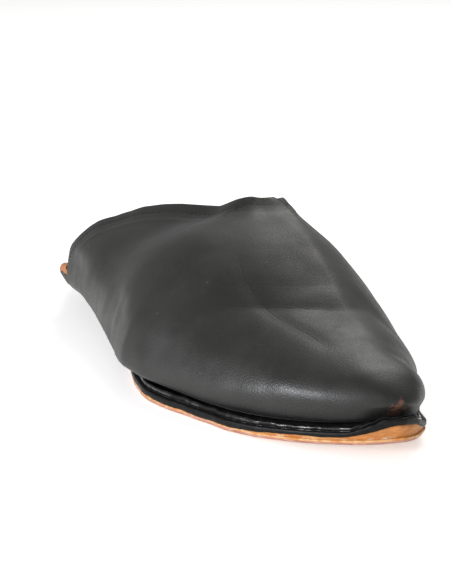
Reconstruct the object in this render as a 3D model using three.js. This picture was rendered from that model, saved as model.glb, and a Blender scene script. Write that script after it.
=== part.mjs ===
// A right-foot babouche: a soft backless leather slipper with its back quarter trodden flat.
// Millimetres. +X runs from heel to toe, +Y to the medial side, +Z up.
// The origin is the middle of the footprint box, on the floor.

import * as THREE from 'three';

// Driving dimensions of the last and of the leathers.
const shoeLength = 275;
const ballWidth = 100;
const heelWidth = 64;
const instepHeight = 64;
const toeSpring = 7.2;
const archRise = 1.5;
const plyThickness = 1.7;
const randThickness = 2.2;
const wallThickness = 1.8;
const clearance = 0.3;
const ledge = 4;
const toeTuck = 1.5;

// Heights of the stacked leathers where the sole lies flat.
const midsoleBottom = plyThickness + clearance;
const midsoleTop = midsoleBottom + plyThickness;
const randBottom = midsoleTop + clearance;
const randTop = randBottom + randThickness;
const featherHeight = randTop + clearance;
const insoleTop = randTop + 0.2;

// Sole plan, one row a side: widths in ball widths, places in shoe lengths.
// bend and point are the powers of the curve from the ball to the toe.
const lateral = { sign: -1, ball: 0.545, ballAt: 0.66, waist: 0.38, waistAt: 0.39, bend: 1.5, point: 1.5 };
const medial = { sign: 1, ball: 0.46, ballAt: 0.655, waist: 0.315, waistAt: 0.41, bend: 1.6, point: 1.35 };
const sides = [lateral, medial];
const heelEnd = 0.138 * shoeLength;
const heelPower = 2.2;
const tipShift = 0.045 * ballWidth;

// Where the sole leaves the floor, in shoe lengths.
const archStart = 0.28;
const archEnd = 0.55;
const springStart = 0.78;

// The last, one row a section. at: shoe lengths from the heel. lateral, medial: widest
// half-width of the upper over that of its feather edge. bulge, crown: heights of the widest
// place and of the top, in instep heights. ridge: sideways place of the top, in ball
// widths. outer, inner: powers of the lateral and medial curves from widest place to top.
const sections = [
  { at: 0.00, lateral: 1.12, medial: 1.12, bulge: 0.20, crown: 0.50, ridge: 0.00, outer: 2.2, inner: 2.2 },
  { at: 0.11, lateral: 1.24, medial: 1.18, bulge: 0.24, crown: 0.75, ridge: 0.00, outer: 2.2, inner: 2.1 },
  { at: 0.245, lateral: 1.73, medial: 1.48, bulge: 0.31, crown: 0.94, ridge: 0.02, outer: 2.0, inner: 1.9 },
  { at: 0.39, lateral: 1.60, medial: 1.45, bulge: 0.26, crown: 0.955, ridge: 0.04, outer: 2.0, inner: 1.8 },
  { at: 0.475, lateral: 1.46, medial: 1.31, bulge: 0.21, crown: 0.945, ridge: 0.065, outer: 2.0, inner: 1.7 },
  { at: 0.545, lateral: 1.34, medial: 1.19, bulge: 0.18, crown: 1.00, ridge: 0.085, outer: 1.9, inner: 1.5 },
  { at: 0.66, lateral: 1.16, medial: 1.07, bulge: 0.165, crown: 0.86, ridge: 0.09, outer: 1.9, inner: 1.45 },
  { at: 0.76, lateral: 1.07, medial: 1.05, bulge: 0.18, crown: 0.675, ridge: 0.085, outer: 2.0, inner: 1.45 },
  { at: 0.85, lateral: 1.06, medial: 1.05, bulge: 0.22, crown: 0.53, ridge: 0.07, outer: 2.1, inner: 1.6 },
  { at: 0.93, lateral: 1.06, medial: 1.05, bulge: 0.25, crown: 0.44, ridge: 0.05, outer: 2.2, inner: 1.8 },
  { at: 1.00, lateral: 1.07, medial: 1.06, bulge: 0.28, crown: 0.37, ridge: 0.03, outer: 2.2, inner: 2.0 },
];
const noseLength = 14;

// The topline in side view, from the back of the heel to the peak of the throat.
const throatAt = 0.548;
const topline = [
  { at: 0.00, height: 0.27 },
  { at: 0.11, height: 0.30 },
  { at: 0.22, height: 0.34 },
  { at: 0.245, height: 0.37 },
  { at: 0.275, height: 0.52 },
  { at: 0.32, height: 0.72 },
  { at: 0.36, height: 0.81 },
  { at: 0.40, height: 0.855 },
  { at: 0.44, height: 0.892 },
  { at: 0.49, height: 0.93 },
  { at: 0.525, height: 0.972 },
  { at: 0.548, height: 1.00 },
];

// The trodden-down back quarter, a shallow tray on the insole.
const foldStart = 9;
const foldEnd = 60;
const foldThickness = 1.6;
const foldRise = 1.4;
const foldGap = 0.8;

// Mesh divisions.
const openStations = 26;
const vampStations = 26;
const lowColumns = 4;
const highColumns = 9;
const columns = lowColumns + highColumns;
const foldRows = 14;
const foldColumns = 20;

function smoothStep(from, to, x) {
  const t = THREE.MathUtils.clamp((x - from) / (to - from), 0, 1);
  return t * t * (3 - 2 * t);
}

// Smooth curve through one column of a table, without overshoot between its rows.
function readTable(table, column, at) {
  const last = table.length - 1;
  const x = THREE.MathUtils.clamp(at, table[0].at, table[last].at);
  const slopes = [];
  for (let i = 0; i < last; i += 1) {
    slopes.push((table[i + 1][column] - table[i][column]) / (table[i + 1].at - table[i].at));
  }
  const tangent = (i) => {
    if (i === 0 || i === last) {
      return slopes[Math.min(i, last - 1)];
    }
    const product = slopes[i - 1] * slopes[i];
    return product <= 0 ? 0 : 2 * product / (slopes[i - 1] + slopes[i]);
  };
  let row = 0;
  while (row < last - 1 && x > table[row + 1].at) {
    row += 1;
  }
  const step = table[row + 1].at - table[row].at;
  const t = (x - table[row].at) / step;
  const start = table[row][column];
  const end = table[row + 1][column];
  return start * (1 + 2 * t) * (1 - t) ** 2 + step * tangent(row) * t * (1 - t) ** 2
    + end * t * t * (3 - 2 * t) - step * tangent(row + 1) * t * t * (1 - t);
}

// How far the underside of the sole is off the floor.
function lift(x) {
  const spring = Math.max(0, (x / shoeLength - springStart) / (1 - springStart));
  const arch = smoothStep(archStart, (archStart + archEnd) / 2, x / shoeLength)
    - smoothStep((archStart + archEnd) / 2, archEnd, x / shoeLength);
  return toeSpring * spring ** 2 + archRise * arch;
}

// Sideways place of a sole edge, drawn in by inset all round.
function edge(side, x, inset) {
  const ballX = side.ballAt * shoeLength;
  const waistX = side.waistAt * shoeLength;
  const ball = side.ball * ballWidth - inset;
  const waist = side.waist * ballWidth - inset;
  const heel = heelWidth / 2 - inset;
  const tip = tipShift * side.sign;
  if (x > ballX) {
    const t = Math.min(1, (x - ballX) / (shoeLength - inset - ballX));
    return side.sign * (tip + (ball - tip) * (1 - t ** side.bend) ** (1 / side.point));
  }
  if (x > heelEnd) {
    const body = x > waistX
      ? waist + (ball - waist) * smoothStep(waistX, ballX, x)
      : heel + (waist - heel) * smoothStep(heelEnd, waistX, x);
    return side.sign * body;
  }
  const back = Math.min(1, (heelEnd - x) / (heelEnd - inset));
  return side.sign * heel * Math.sqrt(Math.max(0, 1 - back ** heelPower));
}

// Places along the shoe, close together at the toe, the heel and the throat.
function stations(inset) {
  const start = inset;
  const end = shoeLength - inset;
  const throat = throatAt * shoeLength;
  const places = [];
  for (let i = 0; i < openStations; i += 1) {
    places.push(start + (throat - start) * (1 - Math.cos(Math.PI * i / openStations)) / 2);
  }
  for (let i = 0; i <= vampStations; i += 1) {
    places.push(throat + (end - throat) * Math.sin(Math.PI * i / vampStations / 2));
  }
  return places;
}

// A closed body from points and outward triangles, leaving out any that shrink to a line.
function makeGeometry(points, triangles) {
  const kept = triangles.filter(([a, b, c]) => a !== b && b !== c && c !== a);
  const geometry = new THREE.BufferGeometry();
  geometry.setAttribute('position', new THREE.Float32BufferAttribute(points.flat(), 3));
  geometry.setIndex(kept.flat());
  return geometry;
}

function addQuad(triangles, a, b, c, d) {
  triangles.push([a, b, c], [a, c, d]);
}

// The outline as one closed loop, lateral side first, the ends shared by both sides.
function outlineLoop(inset) {
  const places = stations(inset);
  const last = places.length - 1;
  const loop = places.map((x) => [x, edge(lateral, x, inset)]);
  for (let i = last - 1; i > 0; i -= 1) {
    loop.push([places[i], edge(medial, places[i], inset)]);
  }
  return loop;
}

// A flat leather cut to the sole outline.
function makePlate(inset, bottom, top) {
  const loop = outlineLoop(inset);
  const count = loop.length;
  const last = stations(inset).length - 1;
  const points = [];
  for (const height of [bottom, top]) {
    loop.forEach(([x, y]) => points.push([x, y, height + lift(x)]));
  }
  const triangles = [];
  const across = (i) => (i === 0 || i === last ? i : count - i);
  for (let i = 0; i < count; i += 1) {
    const next = (i + 1) % count;
    addQuad(triangles, i, next, next + count, i + count);
  }
  for (let i = 0; i < last; i += 1) {
    addQuad(triangles, i, across(i), across(i + 1), i + 1);
    addQuad(triangles, i + count, i + 1 + count, across(i + 1) + count, across(i) + count);
  }
  return makeGeometry(points, triangles);
}

// A strip between two outlines.
function makeRing(outerInset, innerInset, bottom, top) {
  const outer = outlineLoop(outerInset);
  const inner = outlineLoop(innerInset);
  const count = outer.length;
  const points = [];
  for (const [loop, height] of [[outer, bottom], [outer, top], [inner, top], [inner, bottom]]) {
    loop.forEach(([x, y]) => points.push([x, y, height + lift(x)]));
  }
  const triangles = [];
  for (let i = 0; i < count; i += 1) {
    const next = (i + 1) % count;
    for (let wall = 0; wall < 4; wall += 1) {
      const here = wall * count;
      const above = ((wall + 1) % 4) * count;
      addQuad(triangles, i + here, next + here, next + above, i + above);
    }
  }
  return makeGeometry(points, triangles);
}

// A point on the outside of the upper. rise runs from 0 at the feather edge to 1 at the widest
// place and 2 at the top edge: the ridge of the vamp, or the topline behind the throat.
function upperPoint(side, x, rise) {
  const at = x / shoeLength;
  const read = (column) => readTable(sections, column, at);
  const lateralEdge = edge(lateral, x, ledge);
  const medialEdge = edge(medial, x, ledge);
  const middle = (lateralEdge + medialEdge) / 2;
  const half = (medialEdge - lateralEdge) / 2;
  const foot = edge(side, x, ledge);
  const spread = read(side === lateral ? 'lateral' : 'medial');
  const widest = middle + side.sign * half * spread;
  const feather = featherHeight + lift(x);
  const bulge = read('bulge') * instepHeight;
  const nose = Math.min(1, (shoeLength - ledge - x) / noseLength);
  const crown = bulge + (read('crown') * instepHeight - bulge) * Math.sqrt(nose * (2 - nose));
  const closing = Math.min(1, half / (0.12 * ballWidth));
  const ridge = middle + (read('ridge') * ballWidth - middle) * closing;
  if (rise < 1) {
    const startAngle = Math.PI / 6;
    const angle = startAngle + (Math.PI / 2 - startAngle) * rise;
    const out = (Math.sin(angle) - Math.sin(startAngle)) / (1 - Math.sin(startAngle));
    const down = Math.cos(angle) / Math.cos(startAngle);
    const tuck = toeTuck * (1 - rise) * (1 - nose);
    return [x - tuck, foot + (widest - foot) * out, bulge - (bulge - feather) * down];
  }
  const power = 2 / read(side === lateral ? 'outer' : 'inner');
  let topAngle = Math.PI / 2;
  if (at < throatAt) {
    const height = readTable(topline, 'height', at) * instepHeight;
    const share = THREE.MathUtils.clamp((height - bulge) / (crown - bulge), 0, 1);
    topAngle = Math.asin(share ** (1 / power));
  }
  const angle = topAngle * (rise - 1);
  const y = ridge + (widest - ridge) * Math.cos(angle) ** power;
  return [x, y, bulge + (crown - bulge) * Math.sin(angle) ** power];
}

// Vertex normals of a surface, each the mean of the faces round it.
function surfaceNormals(points, triangles) {
  const normals = points.map(() => new THREE.Vector3());
  const corner = [new THREE.Vector3(), new THREE.Vector3(), new THREE.Vector3()];
  for (const triangle of triangles) {
    triangle.forEach((id, k) => corner[k].fromArray(points[id]));
    const face = corner[1].clone().sub(corner[0]).cross(corner[2].clone().sub(corner[0]));
    triangle.forEach((id) => normals[id].add(face));
  }
  return normals.map((normal) => normal.normalize());
}

// The upper: one wall from the feather edge to the ridge and the topline, open underneath.
function makeUpper() {
  const places = stations(ledge);
  const last = places.length - 1;
  const points = [];
  const ids = sides.map(() => []);
  sides.forEach((side, s) => {
    places.forEach((x, i) => {
      const column = [];
      for (let j = 0; j <= columns; j += 1) {
        const closedEnd = i === 0 || i === last;
        const onRidge = i >= openStations && j === columns;
        if (s === 1 && (closedEnd || onRidge)) {
          column.push(ids[0][i][j]);
        } else if (i === last && j > lowColumns) {
          column.push(column[lowColumns]);
        } else {
          const rise = j < lowColumns ? j / lowColumns : 1 + (j - lowColumns) / highColumns;
          column.push(points.length);
          points.push(upperPoint(side, x, rise));
        }
      }
      ids[s].push(column);
    });
  });
  const outside = [];
  sides.forEach((side, s) => {
    for (let i = 0; i < last; i += 1) {
      for (let j = 0; j < columns; j += 1) {
        const [a, b] = [ids[s][i][j], ids[s][i + 1][j]];
        const [c, d] = [ids[s][i + 1][j + 1], ids[s][i][j + 1]];
        if (side === lateral) {
          addQuad(outside, a, b, c, d);
        } else {
          addQuad(outside, d, c, b, a);
        }
      }
    }
  });
  const normals = surfaceNormals(points, outside);
  const count = points.length;
  const inner = points.map((point, id) => point.map((value, axis) => (
    value - wallThickness * normals[id].getComponent(axis))));
  const triangles = outside.slice();
  outside.forEach(([a, b, c]) => triangles.push([c + count, b + count, a + count]));
  const closeRim = (loop) => {
    loop.forEach((id, k) => {
      const next = loop[(k + 1) % loop.length];
      addQuad(triangles, next, id, id + count, next + count);
    });
  };
  const feather = ids[0].map((column) => column[0]);
  for (let i = last - 1; i > 0; i -= 1) {
    feather.push(ids[1][i][0]);
  }
  const collar = [];
  for (let i = 0; i <= openStations; i += 1) {
    collar.push(ids[1][i][columns]);
  }
  for (let i = openStations - 1; i > 0; i -= 1) {
    collar.push(ids[0][i][columns]);
  }
  closeRim(feather);
  closeRim(collar);
  return makeGeometry(points.concat(inner), triangles);
}

// A point a given depth inside the upper, measured square to its section.
function insidePoint(side, x, rise, depth) {
  const here = upperPoint(side, x, rise);
  const next = upperPoint(side, x, rise + 0.01);
  const rising = new THREE.Vector2(next[1] - here[1], next[2] - here[2]).normalize();
  return [x, here[1] - side.sign * depth * rising.y, here[2] + side.sign * depth * rising.x];
}

// The trodden-down back quarter, flat on the insole and turned up along the side walls.
function makeFold() {
  const points = [];
  const flatShare = 0.6;
  for (const layer of [0, foldThickness]) {
    for (let i = 0; i <= foldRows; i += 1) {
      const x = foldStart + (foldEnd - foldStart) * i / foldRows;
      const gap = foldGap + 3 * (1 - smoothStep(foldStart, heelEnd, x));
      for (let j = 0; j <= foldColumns; j += 1) {
        const across = 2 * j / foldColumns - 1;
        const side = across < 0 ? lateral : medial;
        const share = Math.abs(across) / flatShare;
        const depth = wallThickness + gap + layer;
        if (share <= 1) {
          const [, y, z] = insidePoint(side, x, 0, depth);
          const flat = insoleTop + clearance + layer;
          points.push([x, y * share, flat + (z - flat) * share ** 6]);
        } else {
          const rise = foldRise * (Math.abs(across) - flatShare) / (1 - flatShare);
          points.push(insidePoint(side, x, rise, depth));
        }
      }
    }
  }
  const width = foldColumns + 1;
  const count = width * (foldRows + 1);
  const triangles = [];
  for (let i = 0; i < foldRows; i += 1) {
    for (let j = 0; j < foldColumns; j += 1) {
      const a = i * width + j;
      addQuad(triangles, a, a + 1, a + 1 + width, a + width);
      addQuad(triangles, a + count, a + width + count, a + 1 + width + count, a + 1 + count);
    }
  }
  const rim = [];
  for (let j = 0; j < foldColumns; j += 1) {
    rim.push(j);
  }
  for (let i = 0; i < foldRows; i += 1) {
    rim.push(i * width + foldColumns);
  }
  for (let j = foldColumns; j > 0; j -= 1) {
    rim.push(foldRows * width + j);
  }
  for (let i = foldRows; i > 0; i -= 1) {
    rim.push(i * width);
  }
  rim.forEach((id, k) => {
    const next = rim[(k + 1) % rim.length];
    addQuad(triangles, next, id, id + count, next + count);
  });
  return makeGeometry(points, triangles);
}

const blackLeather = { color: 0x1c1c1e, roughness: 0.5, metalness: 0 };
const blackRand = { color: 0x0d0c0c, roughness: 0.25, metalness: 0 };
const tanLeather = { color: 0xc07a3c, roughness: 0.7, metalness: 0 };
const soleLeather = { color: 0x9a6c50, roughness: 0.75, metalness: 0 };
const sockLeather = { color: 0xb98a58, roughness: 0.7, metalness: 0 };

const slipper = new THREE.Group();

function addPiece(name, geometry, finish) {
  geometry.computeVertexNormals();
  const mesh = new THREE.Mesh(geometry, new THREE.MeshStandardMaterial(finish));
  mesh.name = name;
  slipper.add(mesh);
}

addPiece('outsole', makePlate(0, 0, plyThickness), soleLeather);
addPiece('midsole', makePlate(0, midsoleBottom, midsoleTop), tanLeather);
addPiece('rand', makeRing(0, ledge + wallThickness + 0.1, randBottom, randTop), blackRand);
addPiece('insole', makePlate(ledge + wallThickness + 0.4, randBottom, insoleTop), sockLeather);
addPiece('upper', makeUpper(), blackLeather);
addPiece('back_quarter', makeFold(), blackLeather);

// Centre the footprint box on the origin.
const box = new THREE.Box3().setFromObject(slipper);
const middle = box.getCenter(new THREE.Vector3());
slipper.position.set(-middle.x, -middle.y, -box.min.z);
slipper.updateMatrixWorld(true);

export default slipper;
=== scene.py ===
import math

import bmesh
import bpy
import numpy as np
from mathutils import Matrix, Vector, noise


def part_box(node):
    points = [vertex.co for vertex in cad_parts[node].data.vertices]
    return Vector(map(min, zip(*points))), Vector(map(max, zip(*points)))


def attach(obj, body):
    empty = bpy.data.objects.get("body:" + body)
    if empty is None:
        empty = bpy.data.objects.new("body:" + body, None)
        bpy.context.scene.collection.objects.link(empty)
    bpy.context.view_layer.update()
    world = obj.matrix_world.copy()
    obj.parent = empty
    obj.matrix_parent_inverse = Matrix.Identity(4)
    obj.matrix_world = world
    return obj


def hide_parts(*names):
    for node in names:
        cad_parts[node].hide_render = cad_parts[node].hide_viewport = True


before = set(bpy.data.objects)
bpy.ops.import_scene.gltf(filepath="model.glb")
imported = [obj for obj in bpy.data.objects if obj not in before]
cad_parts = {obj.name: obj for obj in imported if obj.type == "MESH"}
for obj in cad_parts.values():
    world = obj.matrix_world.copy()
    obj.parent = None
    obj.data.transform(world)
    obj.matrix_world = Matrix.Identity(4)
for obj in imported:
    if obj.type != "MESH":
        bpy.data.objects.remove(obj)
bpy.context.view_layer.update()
mm = 0.001


# camera and studio

view = {
    "eye": (0.6116, -0.2420, 0.2047),
    "aim": (-0.0170, 0.0090, 0.0185),
    "lens": 106.0,
    "world": 0.36,
}


def lookAt(place, target):
    direction = Vector(target) - Vector(place)
    turn = direction.to_track_quat("-Z", "Y")
    return Matrix.Translation(Vector(place)) @ turn.to_matrix().to_4x4()


def makeCamera():
    data = bpy.data.cameras.new("photoView")
    data.sensor_fit = "AUTO"
    data.sensor_width = 36.0
    data.lens = view["lens"]
    data.dof.use_dof = False
    data.clip_start = 0.01
    camera = bpy.data.objects.new("photoView", data)
    bpy.context.scene.collection.objects.link(camera)
    camera.matrix_world = lookAt(view["eye"], view["aim"])
    bpy.context.scene.camera = camera


makeCamera()
print("camera placed")

lamps = {
    "back": {"place": (-0.57, 0.58, 0.95), "aim": (0.0, 0.0, 0.0), "size": (0.6, 0.6), "watts": 6.6,
             "color": (1.0, 0.99, 0.94)},
    "front": {"place": (1.10, -0.70, 0.90), "aim": (0.0, 0.0, 0.02), "size": (0.9, 0.9), "watts": 3.0,
              "color": (1.0, 1.0, 1.0)},
    "lateral": {"place": (0.30, -1.06, 0.27), "aim": (0.08, -0.02, 0.02), "size": (0.46, 0.26), "watts": 11.0,
                "color": (0.94, 0.95, 1.0)},
    "medial": {"place": (0.30, 1.20, 0.70), "aim": (0.0, 0.0, 0.03), "size": (0.8, 0.8), "watts": 0.3,
               "color": (1.0, 1.0, 1.0)},
}


def makeLamps():
    for name, lamp in lamps.items():
        data = bpy.data.lights.new(name, "AREA")
        data.shape = "RECTANGLE"
        data.size, data.size_y = lamp["size"]
        data.energy = lamp["watts"]
        data.color = lamp["color"]
        light = bpy.data.objects.new(name, data)
        bpy.context.scene.collection.objects.link(light)
        light.matrix_world = lookAt(lamp["place"], lamp["aim"])
    world = bpy.data.worlds.new("studio")
    world.use_nodes = True
    world.node_tree.nodes["Background"].inputs["Color"].default_value = (1.0, 1.0, 1.0, 1.0)
    world.node_tree.nodes["Background"].inputs["Strength"].default_value = view["world"]
    bpy.context.scene.world = world
    bpy.context.scene.view_settings.view_transform = "Standard"


makeLamps()
print("lamps placed")


# shader expressions

class Signal:
    # one node socket that reads like a number in an expression
    def __init__(self, tree, socket):
        self.tree = tree
        self.socket = socket

    def join(self, operation, first, second=0.0):
        node = self.tree.nodes.new("ShaderNodeMath")
        node.operation = operation
        for slot, value in enumerate((first, second)):
            if isinstance(value, Signal):
                self.tree.links.new(value.socket, node.inputs[slot])
            else:
                node.inputs[slot].default_value = value
        return Signal(self.tree, node.outputs[0])

    def __add__(self, other):
        return self.join("ADD", self, other)

    def __radd__(self, other):
        return self.join("ADD", other, self)

    def __sub__(self, other):
        return self.join("SUBTRACT", self, other)

    def __rsub__(self, other):
        return self.join("SUBTRACT", other, self)

    def __mul__(self, other):
        return self.join("MULTIPLY", self, other)

    def __rmul__(self, other):
        return self.join("MULTIPLY", other, self)

    def clamp(self):
        return self.join("MINIMUM", self.join("MAXIMUM", self, 0.0), 1.0)

    def fraction(self):
        return self.join("FRACT", self)

    def size(self):
        return self.join("ABSOLUTE", self)

    def largest(self, other):
        return self.join("MAXIMUM", self, other)

    def smooth(self, low, high):
        # 0 below low, 1 above high, soft between
        t = ((self - low) * (1.0 / (high - low))).clamp()
        return t * t * (3.0 - 2.0 * t)


class Shader:
    # a material's node tree, and the few ways this file adds nodes to it
    def __init__(self, name):
        self.material = bpy.data.materials.new(name)
        self.material.use_nodes = True
        self.tree = self.material.node_tree
        self.bsdf = self.tree.nodes["Principled BSDF"]

    def node(self, kind, settings=None, out=0, **inputs):
        made = self.tree.nodes.new(kind)
        for key, value in (settings or {}).items():
            setattr(made, key, value)
        for key, value in inputs.items():
            socket = made.inputs[int(key[1:])] if key[1:].isdigit() else made.inputs[key.replace("_", " ")]
            if isinstance(value, Signal):
                self.tree.links.new(value.socket, socket)
            else:
                socket.default_value = value
        return Signal(self.tree, made.outputs[out])

    def objectPlace(self):
        return self.node("ShaderNodeTexCoord", out=3)

    def attribute(self, name):
        return self.node("ShaderNodeAttribute", {"attribute_name": name}, out=2)

    def noise(self, place, scale, detail=3.0, rough=0.55):
        return self.node("ShaderNodeTexNoise", {"noise_dimensions": "3D"}, Vector=place,
                         Scale=scale, Detail=detail, Roughness=rough)

    def cells(self, place, scale, feature="F1"):
        return self.node("ShaderNodeTexVoronoi", {"feature": feature}, Vector=place, Scale=scale)

    def noisyPlace(self, place, scale, amount):
        # the place, pushed about a little
        push = self.node("ShaderNodeTexNoise", {"noise_dimensions": "3D"}, 1, Vector=place, Scale=scale,
                         Detail=2.0)
        push = self.node("ShaderNodeVectorMath", {"operation": "SUBTRACT"}, 0, i0=push, i1=(0.5, 0.5, 0.5))
        push = self.node("ShaderNodeVectorMath", {"operation": "SCALE"}, 0, i0=push, Scale=amount)
        return self.node("ShaderNodeVectorMath", {"operation": "ADD"}, 0, i0=place, i1=push)

    def split(self, place, axis):
        return self.node("ShaderNodeSeparateXYZ", None, axis, Vector=place)

    def stretch(self, place, scale, turn=(0.0, 0.0, 0.0)):
        return self.node("ShaderNodeMapping", None, Vector=place, Scale=scale, Rotation=turn)

    def mix(self, share, first, second):
        first = first if isinstance(first, Signal) else (*first, 1.0)
        second = second if isinstance(second, Signal) else (*second, 1.0)
        return self.node("ShaderNodeMix", {"data_type": "RGBA"}, 2, i0=share, i6=first, i7=second)

    def bump(self, height, distance, strength):
        return self.node("ShaderNodeBump", None, Height=height, Distance=distance, Strength=strength)

    def set(self, **inputs):
        for key, value in inputs.items():
            socket = self.bsdf.inputs[key.replace("_", " ")]
            if isinstance(value, Signal):
                self.tree.links.new(value.socket, socket)
            elif isinstance(value, tuple):
                socket.default_value = (*value, 1.0)
            else:
                socket.default_value = value
        return self.material


# the last, in millimetres from the back of the heel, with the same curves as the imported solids

shoe = {
    "length": 275.0, "ballWidth": 100.0, "heelWidth": 64.0, "instep": 64.0, "spring": 7.2, "arch": 1.5,
    "ply": 1.7, "rand": 2.2, "gap": 0.3, "ledge": 4.0, "tuck": 1.5, "nose": 14.0, "tip": 4.5,
    "heelPower": 2.2, "throat": 0.548,
}
shoe["heelEnd"] = 0.138 * shoe["length"]
midsoleLow = shoe["ply"] + shoe["gap"]
randLow = midsoleLow + shoe["ply"] + shoe["gap"]
randHigh = randLow + shoe["rand"]
featherHeight = randHigh + shoe["gap"]
insoleHigh = randHigh + 0.2

soleEdges = {
    -1: {"ball": 54.5, "ballAt": 181.5, "waist": 38.0, "waistAt": 107.25, "bend": 1.5, "point": 1.5},
    1: {"ball": 46.0, "ballAt": 180.125, "waist": 31.5, "waistAt": 112.75, "bend": 1.6, "point": 1.35},
}

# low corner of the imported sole: what carries the shoe's own places into the frame
soleLow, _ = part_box("outsole")
shift = np.array([soleLow.x / mm, soleLow.y / mm + soleEdges[-1]["ball"], 0.0])


def table(names, rows):
    return dict(zip(names.split(), np.array(rows, float).T))


sections = table("at lateral medial bulge crown ridge outer inner", (
    (0.00, 1.12, 1.12, 0.20, 0.50, 0.00, 2.2, 2.2),
    (0.11, 1.24, 1.18, 0.24, 0.75, 0.00, 2.2, 2.1),
    (0.245, 1.73, 1.48, 0.31, 0.94, 0.02, 2.0, 1.9),
    (0.39, 1.60, 1.45, 0.26, 0.955, 0.04, 2.0, 1.8),
    (0.475, 1.46, 1.31, 0.21, 0.945, 0.065, 2.0, 1.7),
    (0.545, 1.34, 1.19, 0.18, 1.00, 0.085, 1.9, 1.5),
    (0.66, 1.16, 1.07, 0.165, 0.86, 0.09, 1.9, 1.45),
    (0.76, 1.07, 1.05, 0.18, 0.675, 0.085, 2.0, 1.45),
    (0.85, 1.06, 1.05, 0.22, 0.53, 0.07, 2.1, 1.6),
    (0.93, 1.06, 1.05, 0.25, 0.44, 0.05, 2.2, 1.8),
    (1.00, 1.07, 1.06, 0.28, 0.37, 0.03, 2.2, 2.0)))

topline = table("at height", (
    (0.00, 0.27), (0.11, 0.30), (0.22, 0.34), (0.245, 0.37), (0.275, 0.52), (0.32, 0.72),
    (0.36, 0.81), (0.40, 0.855), (0.44, 0.892), (0.49, 0.93), (0.525, 0.972), (0.548, 1.00)))


def ease(low, high, x):
    t = np.clip((np.asarray(x, float) - low) / (high - low), 0.0, 1.0)
    return t * t * (3.0 - 2.0 * t)


def readTable(rows, column, at):
    places, values = rows["at"], rows[column]
    steps = np.diff(places)
    slopes = np.diff(values) / steps
    product = slopes[:-1] * slopes[1:]
    total = np.where(product > 0.0, slopes[:-1] + slopes[1:], 1.0)
    inner = np.where(product > 0.0, 2.0 * product / total, 0.0)
    tangents = np.concatenate(([slopes[0]], inner, [slopes[-1]]))
    x = np.clip(at, places[0], places[-1])
    row = np.clip(np.searchsorted(places, x) - 1, 0, len(steps) - 1)
    t = (x - places[row]) / steps[row]
    return (values[row] * (1 + 2 * t) * (1 - t) ** 2 + steps[row] * tangents[row] * t * (1 - t) ** 2
            + values[row + 1] * t * t * (3 - 2 * t) - steps[row] * tangents[row + 1] * t * t * (1 - t))


def lift(x):
    # how far the sole is off the floor
    at = np.asarray(x, float) / shoe["length"]
    spring = np.maximum(0.0, (at - 0.78) / 0.22)
    arch = ease(0.28, 0.415, at) - ease(0.415, 0.55, at)
    return shoe["spring"] * spring ** 2 + shoe["arch"] * arch


def soleEdge(side, x, inset):
    # sideways place of a sole edge drawn in by inset all round
    x, inset = np.broadcast_arrays(np.asarray(x, float), np.asarray(inset, float))
    part = soleEdges[side]
    ball, waist = part["ball"] - inset, part["waist"] - inset
    heel = shoe["heelWidth"] / 2 - inset
    tip = shoe["tip"] * side
    toe = np.clip((x - part["ballAt"]) / (shoe["length"] - inset - part["ballAt"]), 0.0, 1.0)
    front = tip + (ball - tip) * (1 - toe ** part["bend"]) ** (1 / part["point"])
    fore = waist + (ball - waist) * ease(part["waistAt"], part["ballAt"], x)
    rear = heel + (waist - heel) * ease(shoe["heelEnd"], part["waistAt"], x)
    heelRound = np.clip((shoe["heelEnd"] - x) / (shoe["heelEnd"] - inset), 0.0, 1.0)
    back = heel * np.sqrt(1 - heelRound ** shoe["heelPower"])
    parts = (x > part["ballAt"], x > part["waistAt"], x > shoe["heelEnd"])
    return side * np.select(parts, (front, fore, rear), back)


def lastPoint(side, x, rise):
    # outside of the upper: rise 0 at the feather edge, 1 at the widest place, 2 at the ridge or topline
    x, rise = np.broadcast_arrays(np.asarray(x, float), np.asarray(rise, float))
    at = x / shoe["length"]
    outerEdge, innerEdge = soleEdge(-1, x, shoe["ledge"]), soleEdge(1, x, shoe["ledge"])
    middle, half = (outerEdge + innerEdge) / 2, (innerEdge - outerEdge) / 2
    foot = soleEdge(side, x, shoe["ledge"])
    widest = middle + side * half * readTable(sections, "lateral" if side < 0 else "medial", at)
    feather = featherHeight + lift(x)
    bulge = readTable(sections, "bulge", at) * shoe["instep"]
    nose = np.clip((shoe["length"] - shoe["ledge"] - x) / shoe["nose"], 0.0, 1.0)
    crown = bulge + (readTable(sections, "crown", at) * shoe["instep"] - bulge) * np.sqrt(nose * (2 - nose))
    closing = np.minimum(1.0, half / (0.12 * shoe["ballWidth"]))
    ridge = middle + (readTable(sections, "ridge", at) * shoe["ballWidth"] - middle) * closing
    low = np.minimum(rise, 1.0)
    startAngle = math.pi / 6
    angle = startAngle + (math.pi / 2 - startAngle) * low
    out = (np.sin(angle) - 0.5) / 0.5
    down = np.cos(angle) / math.cos(startAngle)
    lowX = x - shoe["tuck"] * (1 - low) * (1 - nose)
    power = 2 / readTable(sections, "outer" if side < 0 else "inner", at)
    height = readTable(topline, "height", at) * shoe["instep"]
    share = np.clip((height - bulge) / np.maximum(crown - bulge, 1e-6), 0.0, 1.0)
    topAngle = np.where(at < shoe["throat"], np.arcsin(share ** (1 / power)), math.pi / 2)
    angle = topAngle * np.maximum(rise - 1.0, 0.0)
    cosine = np.maximum(np.cos(angle), 0.0)
    isLow = rise < 1.0
    y = np.where(isLow, foot + (widest - foot) * out, ridge + (widest - ridge) * cosine ** power)
    z = np.where(isLow, bulge - (bulge - feather) * down, bulge + (crown - bulge) * np.sin(angle) ** power)
    return np.stack([np.where(isLow, lowX, x), y, z], -1)


# plain mesh helpers

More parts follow.
